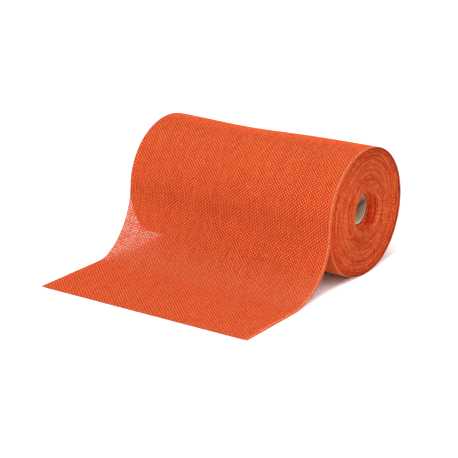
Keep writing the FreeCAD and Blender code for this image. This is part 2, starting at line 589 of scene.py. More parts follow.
def quad_object(name: str, points: np.ndarray, quads: np.ndarray) -> bpy.types.Object:
    """Make a smooth-shaded object from points and quads.

    Args:
        name: the piece's name.
        points: vertices by 3, in metres.
        quads: faces by 4, as vertex indices.

    Returns:
        The new object.
    """
    mesh = bpy.data.meshes.new(name)
    mesh.vertices.add(len(points))
    mesh.vertices.foreach_set("co", points.astype(np.float32).ravel())
    mesh.loops.add(quads.size)
    mesh.loops.foreach_set("vertex_index", quads.astype(np.int32).ravel())
    mesh.polygons.add(len(quads))
    mesh.polygons.foreach_set("loop_start", np.arange(0, quads.size, 4, dtype=np.int32))
    mesh.polygons.foreach_set("use_smooth", np.ones(len(quads), bool))
    mesh.update(calc_edges=True)
    obj = bpy.data.objects.new(name, mesh)
    bpy.context.scene.collection.objects.link(obj)
    return obj


def set_vectors(obj: bpy.types.Object, name: str, values: np.ndarray) -> None:
    """Store one vector for each vertex of an object under a name."""
    layer = obj.data.attributes.new(name, "FLOAT_VECTOR", "POINT")
    layer.data.foreach_set("vector", values.astype(np.float32).ravel())


def set_numbers(obj: bpy.types.Object, name: str, values: np.ndarray) -> None:
    """Store one number for each vertex of an object under a name."""
    layer = obj.data.attributes.new(name, "FLOAT", "POINT")
    layer.data.foreach_set("value", values.astype(np.float32).ravel())


# ---------------------------------------------------------------- finishes

class Nodes:
    """A short hand for building a material's node tree."""

    def __init__(self, name: str) -> None:
        """Start a material called name with its shader and output."""
        self.material = bpy.data.materials.new(name)
        self.material.use_nodes = True
        self.tree = self.material.node_tree
        self.tree.nodes.clear()
        self.shader = self.tree.nodes.new("ShaderNodeBsdfPrincipled")
        output = self.tree.nodes.new("ShaderNodeOutputMaterial")
        self.link(self.shader.outputs[0], output.inputs["Surface"])

    def link(self, source: Socket, target: Socket) -> None:
        """Join two sockets."""
        self.tree.links.new(source, target)

    def attribute(self, name: str) -> bpy.types.Node:
        """Read an attribute of the mesh."""
        node = self.tree.nodes.new("ShaderNodeAttribute")
        node.attribute_name = name
        return node

    def parts(self, vector: Socket) -> bpy.types.NodeOutputs:
        """Split a vector into its three numbers."""
        node = self.tree.nodes.new("ShaderNodeSeparateXYZ")
        self.link(vector, node.inputs[0])
        return node.outputs

    def place(self) -> Socket:
        """Where a point lies on the object."""
        return self.tree.nodes.new("ShaderNodeTexCoord").outputs["Object"]

    def scaled(self, vector: Socket, scale: tuple[float, float, float]) -> Socket:
        """Scale a vector."""
        node = self.tree.nodes.new("ShaderNodeVectorMath")
        node.operation = "MULTIPLY"
        self.link(vector, node.inputs[0])
        node.inputs[1].default_value = scale
        return node.outputs[0]

    def noise(self, vector: Socket, detail: float = 2.0,
              roughness: float = 0.55) -> Socket:
        """Noise of scale 1 at a vector."""
        node = self.tree.nodes.new("ShaderNodeTexNoise")
        node.inputs["Scale"].default_value = 1.0
        node.inputs["Detail"].default_value = detail
        node.inputs["Roughness"].default_value = roughness
        self.link(vector, node.inputs["Vector"])
        return node.outputs["Fac"]

    def ramp(self, value: Socket,
             stops: list[tuple[float, Colour]]) -> Socket:
        """Turn a value into a colour."""
        node = self.tree.nodes.new("ShaderNodeValToRGB")
        elements = node.color_ramp.elements
        elements[0].position, elements[0].color = stops[0]
        elements[1].position, elements[1].color = stops[-1]
        for place, colour in stops[1:-1]:
            elements.new(place).color = colour
        self.link(value, node.inputs["Fac"])
        return node.outputs["Color"]

    def give(self, socket: Socket, value: Socket | float | Colour) -> None:
        """Join a socket to another, or set its value."""
        if isinstance(value, Socket):
            self.link(value, socket)
        else:
            socket.default_value = value

    def weigh(self, *parts: tuple[Socket, float]) -> Socket:
        """Add up values, each by its weight."""
        (first, weight), *others = parts
        total = self.maths("MULTIPLY", first, weight)
        for value, weight in others:
            total = self.maths("MULTIPLY_ADD", value, weight, total)
        return total

    def maths(self, operation: str, first: Socket | float,
              second: Socket | float = 0.0,
              third: Socket | float = 0.0) -> Socket:
        """Combine numbers."""
        node = self.tree.nodes.new("ShaderNodeMath")
        node.operation = operation
        for socket, value in zip(node.inputs, (first, second, third)):
            self.give(socket, value)
        return node.outputs[0]

    def mix(self, share: Socket | float, first: Socket | Colour,
            second: Socket | Colour) -> Socket:
        """Mix two colours."""
        node = self.tree.nodes.new("ShaderNodeMix")
        node.data_type = "RGBA"
        for socket, value in ((0, share), (6, first), (7, second)):
            self.give(node.inputs[socket], value)
        return node.outputs[2]

    def bump(self, height: Socket, strength: float, distance: float) -> None:
        """Give the shader a bump."""
        node = self.tree.nodes.new("ShaderNodeBump")
        node.inputs["Strength"].default_value = strength
        node.inputs["Distance"].default_value = distance
        self.link(height, node.inputs["Height"])
        self.link(node.outputs[0], self.shader.inputs["Normal"])

    def matt(self, roughness: float, sheen: float = 0.0, tint: Colour = (1, 1, 1, 1)) -> None:
        """Set the shader's constant finish."""
        self.shader.inputs["Roughness"].default_value = roughness
        self.shader.inputs["Specular IOR Level"].default_value = 0.10
        self.shader.inputs["Sheen Weight"].default_value = sheen
        self.shader.inputs["Sheen Roughness"].default_value = 0.5
        self.shader.inputs["Sheen Tint"].default_value = tint


@dataclass(frozen=True)
class SpunThread:
    """A spun thread: fibres run along it, its colour drifts, and its crowns are painted lighter, as
    rub wear and as painted highlight, with its flanks darker as painted shade.
    """

    name: str
    deep: Colour
    middle: Colour
    light: Colour
    pale: Colour
    rub_and_highlight: float = 0.76
    sheen: Colour = (0.88, 0.55, 0.21, 1)

    def make(self) -> bpy.types.Material:
        """Build the material from the mesh's fibre (across, along, seed) and crown attributes."""
        nodes = Nodes(self.name)
        fibre = nodes.attribute("fibre").outputs["Vector"]
        crown = nodes.attribute("crown").outputs["Fac"]
        drift = nodes.noise(nodes.scaled(fibre, (0, 70, 37)), detail=2)
        streak = nodes.noise(nodes.scaled(fibre, (5200, 420, 61)), detail=3, roughness=0.65)
        hair = nodes.noise(nodes.scaled(fibre, (9000, 900, 23)), detail=1)
        # Crowns painted lighter, as rub wear and as painted highlight; flanks darker, as painted
        # shade.
        tone = nodes.weigh((drift, 0.24), (streak, 0.30), (crown, self.rub_and_highlight))
        stops = [(0.26, self.deep), (0.48, self.middle), (0.76, self.light), (1.0, self.pale)]
        nodes.link(nodes.ramp(tone, stops), nodes.shader.inputs["Base Color"])
        nodes.bump(nodes.maths("ADD", streak, hair), 0.5, 0.12 * MM)
        nodes.matt(0.82, sheen=0.44, tint=self.sheen)
        return nodes.material


@dataclass(frozen=True)
class ShadedWoundWeb:
    """The turns that lie beneath: the same plain weave, seen only through the one above, coloured
    far darker than the jute thread as painted shade, darkest in the weave's valleys.
    """

    name: str
    shaded_valley: Colour
    low: Colour
    high: Colour

    def make(self) -> bpy.types.Material:
        """Build the material from the mesh's web attribute: across and along, in metres."""
        nodes = Nodes(self.name)
        web = nodes.attribute("web").outputs["Vector"]
        across, along, _ = nodes.parts(web)
        wobble = nodes.noise(nodes.scaled(web, (160, 160, 1)), detail=2)
        weave = Weave()
        warp = nodes.maths("SINE", nodes.maths(
            "MULTIPLY_ADD", across, TAU / weave.warp_pitch, wobble))
        pick = nodes.maths("SINE", nodes.maths(
            "MULTIPLY_ADD", along, TAU / weave.pick_pitch, wobble))
        crossing = nodes.maths("MAXIMUM", warp, pick)
        grain = nodes.noise(nodes.scaled(web, (1500, 1500, 1)), detail=3)
        height = nodes.weigh((crossing, 0.5), (grain, 0.5))
        # Painted shade: darkest in the weave's valleys, and every stop far darker than the jute
        # thread's.
        stops = [(0.0, self.shaded_valley), (0.45, self.low), (0.85, self.high)]
        nodes.link(nodes.ramp(height, stops), nodes.shader.inputs["Base Color"])
        nodes.bump(height, 0.8, 0.5 * MM)
        nodes.matt(0.9, sheen=0.1)
        return nodes.material


@dataclass(frozen=True)
class TurnEdge:
    """The edges of the wound turns: fuzzy loops of the picks round pale edge threads, in colours
    darker than the jute thread's as painted shade on the end faces, with a painted highlight along
    the mouth's rim.
    """

    name: str
    deep: Colour
    middle: Colour
    light: Colour
    pale: Colour

    def make(self) -> bpy.types.Material:
        """Build the material from the edge attributes: arc, turn and height, and pale share."""
        nodes = Nodes(self.name)
        edge = nodes.attribute("edge").outputs["Vector"]
        pale = nodes.attribute("pale").outputs["Fac"]
        arc, _, ridge = nodes.parts(edge)
        place = nodes.place()
        clump = nodes.noise(nodes.scaled(place, (230, 230, 230)), detail=3, roughness=0.62)
        turn = nodes.noise(nodes.scaled(edge, (30, 0.42, 0)), detail=4, roughness=0.6)
        fuzz = nodes.noise(nodes.scaled(place, (1300, 1300, 1300)), detail=3, roughness=0.7)
        # The ridges' height adds a little: ridge tops lighter, grooves between turns darker, as
        # painted shade.
        tone = nodes.weigh((turn, 0.76), (clump, 0.38), (fuzz, 0.26), (ridge, 0.04))
        stops = [(0.55, self.deep), (0.70, self.middle), (0.86, self.light)]
        colour = nodes.ramp(tone, stops)
        loops = nodes.maths("SINE", nodes.maths(
            "MULTIPLY", arc, math.pi / Weave().pick_pitch))
        # The pale share: the pale edge threads, and the painted highlight along the mouth's rim.
        shown = nodes.maths("MULTIPLY", nodes.maths("GREATER_THAN", loops, 0.1), pale)
        nodes.link(nodes.mix(shown, colour, self.pale), nodes.shader.inputs["Base Color"])
        nodes.bump(nodes.maths("ADD", fuzz, nodes.maths("MULTIPLY", loops, 0.25)), 0.8, 0.4 * MM)
        nodes.matt(0.9, sheen=0.12, tint=self.light)
        return nodes.material


@dataclass(frozen=True)
class WoundBoard:
    """Grey-brown cardboard wound on the slant: flecks, ply seams and a broad band of painted shade
    beside each seam.
    """

    name: str
    dark: Colour
    middle: Colour
    light: Colour
    lap: Colour
    seam: Colour
    lay: float = 120 * MM

    def make(self) -> bpy.types.Material:
        """Build the material from Object coordinates, the roll's axis being X."""
        nodes = Nodes(self.name)
        place = nodes.place()
        x, y, z = nodes.parts(place)
        flecks = nodes.noise(nodes.scaled(place, (420, 1400, 1400)), detail=4, roughness=0.7)
        cloud = nodes.noise(nodes.scaled(place, (60, 90, 90)), detail=2)
        tone = nodes.weigh((cloud, 0.4), (flecks, 0.6))
        stops = [(0.34, self.dark), (0.5, self.middle), (0.66, self.light)]
        board = nodes.ramp(tone, stops)
        angle = nodes.maths("ARCTAN2", z, y)
        slant = nodes.maths("MULTIPLY_ADD", x, -TAU / self.lay, angle)
        # A broad dark band that winds beside each seam: painted shade.
        half_slant = nodes.maths("COSINE", nodes.maths("MULTIPLY_ADD", slant, 0.5, 0.24))
        lap = nodes.maths("POWER", nodes.maths("ABSOLUTE", half_slant), 5.0)
        board = nodes.mix(nodes.maths("MULTIPLY", lap, 0.8), board, self.lap)
        seam = nodes.maths("POWER", nodes.maths("ABSOLUTE", half_slant), 240.0)
        nodes.link(nodes.mix(seam, board, self.seam), nodes.shader.inputs["Base Color"])
        height = nodes.maths("SUBTRACT", flecks, nodes.maths("MULTIPLY", seam, 2.0))
        nodes.bump(height, 0.5, 0.15 * MM)
        nodes.matt(0.88)
        return nodes.material


@dataclass
class Finishes:
    """Every material of the roll."""

    jute: bpy.types.Material
    edge_thread: bpy.types.Material
    dull_edge_thread: bpy.types.Material
    faded_fibre: bpy.types.Material
    # wound: the turns beneath, coloured darker as painted shade.
    wound: bpy.types.Material
    turn_edge: bpy.types.Material
    board: bpy.types.Material

    @classmethod
    def make(cls) -> Finishes:
        """Build them all."""
        return cls(
            jute=SpunThread(
                "orange_jute_thread", (0.48, 0.005, 0.001, 1), (0.69, 0.028, 0.003, 1),
                (0.75, 0.180, 0.031, 1), (0.78, 0.42, 0.13, 1)).make(),
            edge_thread=SpunThread(
                "undyed_edge_thread", (0.74, 0.26, 0.08, 1), (0.86, 0.62, 0.30, 1),
                (0.94, 0.84, 0.50, 1), (0.97, 0.92, 0.66, 1)).make(),
            dull_edge_thread=SpunThread(
                "faded_edge_thread", (0.50, 0.020, 0.003, 1), (0.76, 0.075, 0.012, 1),
                (0.82, 0.20, 0.045, 1), (0.88, 0.42, 0.16, 1)).make(),
            faded_fibre=SpunThread(
                "loose_jute_fibre", (0.62, 0.10, 0.03, 1), (0.76, 0.24, 0.09, 1),
                (0.84, 0.42, 0.20, 1), (0.90, 0.62, 0.38, 1)).make(),
            # The turns beneath, in darkened copies of the jute's colours: painted shade.
            wound=ShadedWoundWeb(
                "wound_jute_web_painted_shade", (0.10, 0.003, 0.001, 1), (0.26, 0.012, 0.002, 1),
                (0.46, 0.036, 0.007, 1)).make(),
            # The turns' edges, darker than the jute thread: painted shade on the end faces.
            turn_edge=TurnEdge(
                "fuzzy_turn_edges", (0.35, 0.014, 0.002, 1), (0.51, 0.052, 0.008, 1),
                (0.62, 0.160, 0.040, 1), (0.84, 0.50, 0.26, 1)).make(),
            # The fourth colour is the painted shade band beside the seams.
            board=WoundBoard(
                "grey_core_board", (0.34, 0.26, 0.17, 1), (0.58, 0.48, 0.33, 1),
                (0.72, 0.63, 0.47, 1), (0.20, 0.13, 0.07, 1), (0.14, 0.10, 0.06, 1)).make(),
        )


def dress(obj: bpy.types.Object, material: bpy.types.Material) -> bpy.types.Object:
    """Give an object one material in place of any it has."""
    obj.data.materials.clear()
    obj.data.materials.append(material)
    return obj


def tie(obj: bpy.types.Object, body: str, slot: str, *nodes: str) -> None:
    """Tie a piece to its body and hide the nodes that it stands for."""
    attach(obj, body)
    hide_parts(*nodes)
    log.info("%s: %d faces", obj.name, len(obj.data.polygons))


# ---------------------------------------------------------------- the woven web

@dataclass(frozen=True)
class Stretch:
    """One stretch of the web: its picks, and the body or bodies that it follows."""

    name: str
    first: int
    last: int
    bodies: tuple[str, ...]
    node: str
    held: str
    rests_on: str
    bend: tuple[float, float] | None = None


class WovenWeb:
    """The outermost turn and the free end, woven thread by thread."""

    WRAP_PARTS = ("under_front", "under_back", "back_low", "back_high", "top_back", "top_front")

    def __init__(self, sizes: RollSizes, weave: Weave, path: WebPath) -> None:
        """Lay out every thread of the web.

        Args:
            sizes: the roll's sizes.
            weave: how the web is woven.
            path: the web's middle line.
        """
        self.sizes, self.weave, self.path = sizes, weave, path
        self.picks = round(path.length / weave.pick_pitch)
        self.pitch = path.length / self.picks
        self._place_warps()
        rng = np.random.default_rng(SEED)
        self._wind_warps(rng)
        self._shoot_picks(rng)

    def _place_warps(self) -> None:
        """Choose where each warp lies across the web and what it is spun from."""
        weave, half = self.weave, self.sizes.half_width
        edge = half - np.array(weave.edge_places)
        inner = edge[-1] - weave.edge_gap
        count = round(2 * inner / weave.warp_pitch) + 1
        body = np.linspace(-inner, inner, count)
        self.across = np.concatenate([-edge, body, edge[::-1]])
        kinds = [*weave.edge_kinds, *[Thread.JUTE] * count, *reversed(weave.edge_kinds)]
        self.is_edge = np.array([kind is Thread.EDGE for kind in kinds])
        widths = np.array(weave.edge_widths)
        self.widths = np.concatenate([widths, np.full(count, weave.warp_width), widths[::-1]])
        self.is_fine = self.widths < weave.warp_width

    def _wind_warps(self, rng: np.random.Generator) -> None:
        """Work out the warps' rings along the whole web, two to a pick."""
        weave, count = self.weave, len(self.across)
        steps = 2 * self.picks + 1
        run = np.arange(steps) * self.pitch / 2
        number = np.arange(count)[:, None]
        step = np.arange(steps)[None, :]
        over = np.where((step % 2) == 1, np.where(((step // 2) + number) % 2 == 0, -1.0, 1.0), 0.0)
        shift = wander(rng, count, run, (21 * MM, 47 * MM, 130 * MM), weave.warp_wander)
        shift *= 1 + weave.slack_sway * weave.slack * self._hanging(run)[None, :]
        shift[self.is_fine] *= weave.fine_wander
        slub = wander(rng, count, run, (13 * MM, 34 * MM, 90 * MM), weave.warp_slub)
        build = 1 + slub + rng.normal(0, weave.uneven, (count, 1))
        crimp = np.where(self.is_fine, weave.fine_crimp, 1.0)[:, None] * weave.warp_crimp
        across = self.across[:, None] + shift
        along = np.broadcast_to(run, across.shape).copy()
        along[:, -1] += rng.uniform(0.3, 1.0, count) * weave.cut_fringe
        place, _, outward = self.path.surface(across, along, over * crimp)
        width = self.widths[:, None] * build
        depth = np.minimum(self.widths, weave.thickness)[:, None]
        sideways = np.zeros(place.shape)
        sideways[..., 0] = 1
        # How much lighter the warps' crowns are painted: rub wear and painted highlight.
        rub_and_highlight_weights = np.where(self.widths < weave.fine, weave.fine_rub_and_highlight, weave.warp_rub_and_highlight)[:, None]
        self.warp = {
            "centre": place, "side": sideways, "up": outward, "half_width": width / 2,
            "half_depth": np.broadcast_to(depth / 2, width.shape) * np.sqrt(build),
            "run": along, "crown": rub_and_highlight_weights * (1 + over), "under": rub_and_highlight_weights * (1 - over),
            "seed": rng.uniform(0, 1, count),
        }

    def _shoot_picks(self, rng: np.random.Generator) -> None:
        """Work out the picks' rings across the web, two to a warp, with a turn at each edge."""
        weave, count = self.weave, len(self.across)
        middle = (self.across[:-1] + self.across[1:]) / 2
        edge = self.sizes.half_width - weave.loop_start
        turn = edge + weave.loop_reach
        across = np.empty(2 * count + 3)
        across[2:-2:2] = self.across
        across[3:-3:2] = middle
        across[[0, 1, -2, -1]] = (-turn, -edge, edge, turn)
        number = np.arange(self.picks)[:, None]
        base = (number + 0.5) * self.pitch
        shift = wander(rng, self.picks, across, (26 * MM, 61 * MM, 170 * MM), weave.pick_wander)
        loose = wander(rng, self.picks, across, (8 * MM, 15 * MM, 31 * MM), weave.pick_wander)
        along = base + shift + loose * weave.slack * self._hanging(base)
        heading = np.where(number % 2 == 0, 1.0, -1.0)
        for ring, way, share in ((0, -1, 0.5), (1, -1, 0.22), (-2, 1, 0.22), (-1, 1, 0.5)):
            along[:, ring] = base[:, 0] + way * heading[:, 0] * share * self.pitch
        warp = np.arange(count)[None, :]
        over = np.zeros(along.shape)
        over[:, 2:-2:2] = np.where((number + warp) % 2 == 0, 1.0, -1.0)
        slub = wander(rng, self.picks, across, (15 * MM, 40 * MM, 110 * MM), weave.pick_slub)
        build = 1 + slub + rng.normal(0, weave.uneven, (self.picks, 1))
        build[:, [0, 1, -2, -1]] *= weave.loop_width
        wide = np.broadcast_to(across, along.shape)
        place, forward, outward = self.path.surface(wide, along, over * weave.pick_crimp)
        # The picks' crowns are painted lighter too: rub wear and painted highlight.
        self.pick = {
            "centre": place, "side": -forward, "up": outward,
            "half_width": weave.pick_width / 2 * build,
            "half_depth": weave.thickness / 2 * np.sqrt(build),
            "run": wide, "crown": weave.pick_rub_and_highlight * (1 + over),
            "under": weave.pick_rub_and_highlight * (1 - over),
            "seed": rng.uniform(0, 1, self.picks),
        }

    def _hanging(self, along: np.ndarray) -> np.ndarray:
        """How freely the web hangs at places along it, from 0 to 1."""
        place = self.path.departure + self.weave.slack_place
        return np.exp(-((along - place) / self.weave.slack_reach) ** 2)

    def stretches(self) -> list[Stretch]:
        """Divide the web where it follows different bodies.

        Returns:
            The stretches in order, from the outermost turn to the cut end.
        """
        wrap_picks = round(self.path.departure / self.pitch)
        cuts = np.linspace(0, wrap_picks, len(self.WRAP_PARTS) + 1).round().astype(int)
        made = [
            Stretch(f"wrap_{part}", int(low), int(high), ("wrap",), "outer_wrap", "stretched",
                    "outer_turns")
            for part, low, high in zip(self.WRAP_PARTS, cuts[:-1], cuts[1:])
        ]
        hinges = self.sizes.hinges
        half = (hinges[0] - hinges[1]) / 2
        starts = [self._pick_at(place + half) for place in hinges]
        middle = (wrap_picks + starts[0]) // 2
        made.append(Stretch("tail_fall", wrap_picks, middle, ("wrap",), "tail_drop", "hung",
                            "outer_wrap"))
        made.append(Stretch("tail_sweep", middle, starts[0], ("wrap",), "tail_drop", "hung",
                            "outer_wrap"))
        ends = starts[1:] + [self._pick_at(hinges[-1] - half)]
        before = "wrap"
        for number, (low, high, hinge) in enumerate(zip(starts, ends, hinges), start=1):
            body = f"flap_{number}"
            made.append(Stretch(f"{body}_cloth", low, high, (before, body), f"tail_{body}",
                                "laid", f"tail_{body}", (hinge + half, hinge - half)))
            before = body
        made.append(Stretch("tail_cut_end", ends[-1], self.picks, (before,),
                            f"tail_{before}", "laid", f"tail_{before}"))
        return made

    def _pick_at(self, y: float) -> int:
        """The pick whose near side lies at a place on the floor."""
        along, line = self.path.along, self.path.edges[0][0][:, 0]
        lying = along > self.path.departure
        return round(float(np.interp(-y, -line[lying], along[lying])) / self.pitch)

    def _tubes(self, threads: dict, rows: np.ndarray, columns: slice) -> Tubes:
        """Take some threads, over some rings, as tubes."""
        part = {key: value[rows][:, columns] for key, value in threads.items() if key != "seed"}
        return Tubes.along(seeds=threads["seed"][rows], **part)

    def _own(self, obj: bpy.types.Object, stretch: Stretch, node: str, slot: str) -> None:
        """Tie a piece that follows one body to it and hide its node; a piece that spans a bend is
        baked in place and its node hidden, tied to no body.
        """
        if not stretch.bend:
            tie(obj, stretch.bodies[0], slot, node)
            return
        start, end = stretch.bend
        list(stretch.bodies)
        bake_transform(obj)
        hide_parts(node)

    def build(self, finishes: Finishes) -> None:
        """Args:
            finishes: the roll's materials.
        """
        for stretch in self.stretches():
            rings = slice(2 * stretch.first, 2 * stretch.last + 1)
            picks = np.arange(stretch.first, stretch.last)
            mesh = ThreadMesh(stretch.name)
            mesh.add(self._tubes(self.warp, np.flatnonzero(~self.is_edge), rings))
            mesh.add(self._tubes(self.pick, picks, slice(None)))
            cloth = dress(mesh.build(), finishes.jute)
            self._own(cloth, stretch, stretch.node, "jute_cloth")
            edges = [self._edge(stretch, side, rings, finishes) for side in Side]
            length = (stretch.last - stretch.first) * self.pitch
            log.info("%s: %d picks, %.0f mm long", stretch.name, len(picks), length / MM)

    def _edge(self, stretch: Stretch, side: Side, rings: slice,
              finishes: Finishes) -> bpy.types.Object:
        """Run the pale edge threads along one side of a stretch."""
        own_side = np.sign(self.across) == side.value
        mesh = ThreadMesh(f"{stretch.name}_edge_{side.word}")
        mesh.add(self._tubes(self.warp, np.flatnonzero(self.is_edge & own_side), rings))
        pale = side is Side.RIGHT
        edge = dress(mesh.build(), finishes.edge_thread if pale else finishes.dull_edge_thread)
        kind = stretch.node.replace("outer_wrap", "wrap").replace("tail_", "")
        self._own(edge, stretch, f"{kind}_selvedge_{side.word}", "selvedge_thread")
        return edge


# ---------------------------------------------------------------- the wound turns

@dataclass(frozen=True)
class RollFace:
    """The face that the turns' edges make at each end of the roll."""

    pitch: float = 0.785 * MM
    split: float = 68 * MM
    recess: float = 1.9 * MM
    steps: int = 190
    ridge: float = 0.42 * MM
    rim: float = 27.9 * MM
    shift: float = 3.9 * MM
    shift_ends: float = 55 * MM
    mouth_power: float = 1.25
    mouth_leans: tuple[float, float] = (2.4, math.pi / 4)
    mouth_unevenness: float = 0.16
    creep: float = 0.15 * MM
    fray: float = 0.16 * MM
    pale_above: float = 0.84
    pale_share: float = 0.22
    band_height: float = 0.10
    band_width: float = 0.75 * MM
    swell_height: float = 0.20
    swell_width: float = 2.9 * MM
    still_gap: float = 0.38 * MM
    turning_gap: float = 0.55 * MM
    core_gap: float = 0.75 * MM
    rim_shine: float = 0.55


@dataclass(frozen=True)
class Ridge:
    """The profile of one turn's edge, from its inner side to its outer side."""

    shifts: tuple[float, ...] = (-0.50, -0.50, -0.16, 0.20, 0.50)
    deep: tuple[bool, ...] = (True, False, False, False, False)
    drops: tuple[float, ...] = (1.0, 0.85, 0.0, 0.0, 1.0)
    pale: tuple[int, ...] = (0, 0, 1, 1, 0)


class EdgeSpiral:
    """A spiral of ridges, each of them the edge of one turn."""

    def __init__(self, side: Side, face: RollFace, first: float, turns: int) -> None:
        """Lay the spiral out.

        Args:
            side: which end of the roll it faces.
            face: how the face is wound.
            first: the radius it starts from.
            turns: how many turns it has.
        """
        self.side, self.face, self.first, self.turns = side, face, first, turns
        self.angle = np.arange(turns * face.steps + 1) * TAU / face.steps
        self.number = self.angle / TAU
        self.build = first + face.pitch * self.number
        rng = np.random.default_rng(SEED + 7 * side.value + round(first / MM))
        per_turn = np.arange(turns + 2)
        self.creep = np.interp(self.number, per_turn, rng.normal(0, face.creep, turns + 2))
        self.fray = wander(rng, 1, self.build * self.angle, (2.3 * MM, 5.1 * MM, 11 * MM),
                           face.fray)[0]
        is_pale = rng.uniform(0, 1, turns + 2) > face.pale_above
        self.pale = np.interp(self.number, per_turn, is_pale * face.pale_share)

    def crest(self) -> np.ndarray:
        """How far each turn's edge stands out, as it crept while it was wound."""
        face, radius, angle = self.face, self.build, self.angle
        bands = np.sin(
            radius / face.band_width + 0.9 * np.sin(angle + 0.4) + 0.5 * np.sin(3 * angle))
        swell = np.sin(radius / face.swell_width + 0.7 * np.sin(2 * angle + 1.3) + 2.1)
        rough = (face.band_height * bands + face.swell_height * swell) * MM
        return rough + self.creep + self.fray

    def make(self, name: str, base: float, lay: Callable, sink: Callable) -> bpy.types.Object:
        """Make the spiral's mesh.

        Args:
            name: the piece's name.
            base: how far out from the roll's middle the face lies.
            lay: gives (y, z) pairs for radii and angles.
            sink: gives how deep the face lies at given radii.

        Returns:
            The new object.
        """
        face, ridge, crest = self.face, Ridge(), self.crest()
        rings, heights = [], []
        for shift, deep, drop in zip(ridge.shifts, ridge.deep, ridge.drops):
            radius = self.build + shift * face.pitch
            depth = sink(self.build - face.pitch if deep else self.build) + drop * face.ridge
            x = self.side.value * (base + crest - depth)
            rings.append(np.concatenate([x[:, None], lay(radius, self.angle)], 1))
            # Ridge height, which the finish turns into painted shade in the grooves.
            heights.append(crest / (0.5 * MM) - drop)
        points = np.stack(rings, 1)
        arc = np.cumsum(np.r_[0, np.diff(self.angle) * self.build[1:]])
        whole = np.ones(points.shape[:2])
        obj = strip_surface(name, points, self.side)
        set_vectors(obj, "edge", np.stack([
            arc[:, None] * whole, self.number[:, None] * whole, np.stack(heights, 1)], -1))
        set_numbers(obj, "pale", self.pale[:, None] * np.array(ridge.pale))
        return obj


